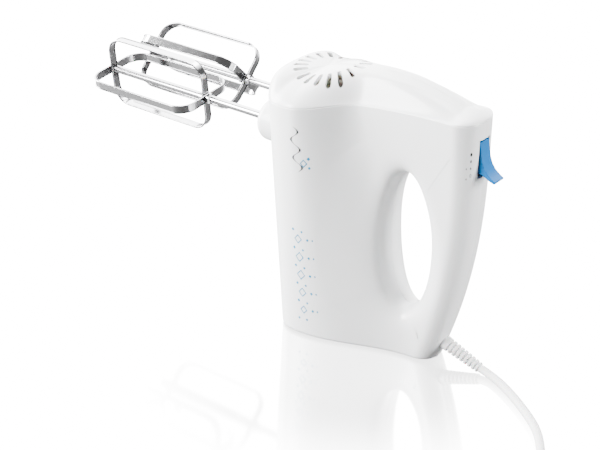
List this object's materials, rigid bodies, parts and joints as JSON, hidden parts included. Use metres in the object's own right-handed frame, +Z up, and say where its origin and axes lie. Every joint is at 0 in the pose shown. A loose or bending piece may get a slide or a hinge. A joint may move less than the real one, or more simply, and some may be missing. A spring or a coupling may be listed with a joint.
{
  "type": "hand mixer",
  "caption": "Electric hand mixer with wire beaters, motor head, closed hand grip with thumb lever, vented cover and a coiled mains lead with plug, standing on its heel.",
  "frame": {"origin": "front edge of the heel on the parting plane, on the surface that the mixer stands on", "axes": "+Z up while the mixer stands on its heel, beaters along -X, grip on the +X side, +Y to the right side of the mixer"},
  "size_m": [0.4793, 0.1379, 0.1845],
  "materials": {
    "body_white": "smooth satin-gloss white moulding",
    "zinc_screw": "bright zinc plate",
    "chrome": "polished chromed steel",
    "gear_nylon": "natural nylon",
    "bronze": "sintered bronze",
    "dark_plastic": "black glass-filled plastic",
    "steel": "ground steel",
    "lamination": "varnished electrical steel",
    "copper": "enamelled copper",
    "carbon": "sintered carbon",
    "lever_blue": "sky-blue moulding",
    "switch_red": "moulded slider",
    "board_green": "solder-masked board",
    "film_yellow": "film capacitor case",
    "cord_white": "soft white PVC",
    "tie_grey": "coated twist tie",
    "nickel_pin": "nickel-plated brass"
  },
  "bodies": {
    "housing": {"housing_left": "body_white", "housing_right": "body_white", "top_cover": "body_white", "nose_plate": "body_white", "housing_screws": "zinc_screw", "front_bushes": "bronze", "rear_bushes": "bronze", "gear_frame": "dark_plastic", "stator_core": "lamination", "field_coils": "copper", "motor_bracket_top": "zinc_screw", "motor_bracket_bottom": "zinc_screw", "shaft_bearing_top": "bronze", "shaft_bearing_bottom": "bronze", "motor_screws": "zinc_screw", "brush_holders": "bronze", "carbon_brushes": "carbon", "brush_springs": "steel", "lever_pin": "steel", "switch_body": "dark_plastic", "detent_spring": "steel", "eject_springs": "steel", "speed_board": "board_green", "capacitor": "film_yellow", "cord_clamp": "dark_plastic", "clamp_screws": "zinc_screw", "strain_relief": "cord_white", "cord": "cord_white", "cord_coil": "cord_white", "cord_tie": "tie_grey", "plug_body": "cord_white", "plug_pins": "nickel_pin"},
    "beater_left": {"beater_left_shaft": "chrome", "beater_left_loops": "chrome", "beater_left_tip": "chrome"},
    "beater_right": {"beater_right_shaft": "chrome", "beater_right_loops": "chrome", "beater_right_tip": "chrome"},
    "gear_left_body": {"gear_left": "gear_nylon"},
    "gear_right_body": {"gear_right": "gear_nylon"},
    "armature": {"armature_shaft": "steel", "worm": "steel", "armature_core": "lamination", "armature_windings": "copper", "commutator": "copper", "fan": "gear_nylon"},
    "lever": {"speed_lever": "lever_blue"},
    "slider": {"switch_slider": "switch_red"},
    "ejector": {"eject_plate": "gear_nylon"}
  },
  "joints": [
    {"name": "armature_spin", "type": "hinge", "parent": "housing", "child": "armature", "pos_m": [0.022, 0, 0.14], "axis": [0, 0, 1], "continuous": true},
    {"name": "gear_left_spin", "type": "hinge", "parent": "housing", "child": "gear_left_body", "pos_m": [0.022, -0.02, 0.14], "axis": [1, 0, 0], "continuous": true},
    {"name": "gear_right_spin", "type": "hinge", "parent": "housing", "child": "gear_right_body", "pos_m": [0.022, 0.02, 0.14], "axis": [1, 0, 0], "continuous": true},
    {"name": "beater_left_release", "type": "slide", "parent": "gear_left_body", "child": "beater_left", "axis": [-1, 0, 0], "range_m": [0, 0.022]},
    {"name": "beater_right_release", "type": "slide", "parent": "gear_right_body", "child": "beater_right", "axis": [-1, 0, 0], "range_m": [0, 0.022]},
    {"name": "speed_select", "type": "hinge", "parent": "housing", "child": "lever", "pos_m": [0.104, 0, 0.132], "axis": [0, -1, 0], "range_deg": [-3.5, 20]},
    {"name": "switch_travel", "type": "slide", "parent": "housing", "child": "slider", "axis": [-1, 0, 0], "range_m": [-0.0012, 0.0052]},
    {"name": "eject_travel", "type": "slide", "parent": "housing", "child": "ejector", "axis": [-1, 0, 0], "range_m": [0, 0.003], "stiffness_N_per_m": 800, "springref_m": -0.001}
  ],
  "couplings": [
    {"joint": "gear_left_spin", "follows": "armature_spin", "ratio": 0.071429},
    {"joint": "gear_right_spin", "follows": "armature_spin", "ratio": -0.071429},
    {"joint": "switch_travel", "follows": "speed_select", "m_per_rad": 0.014}
  ]
}
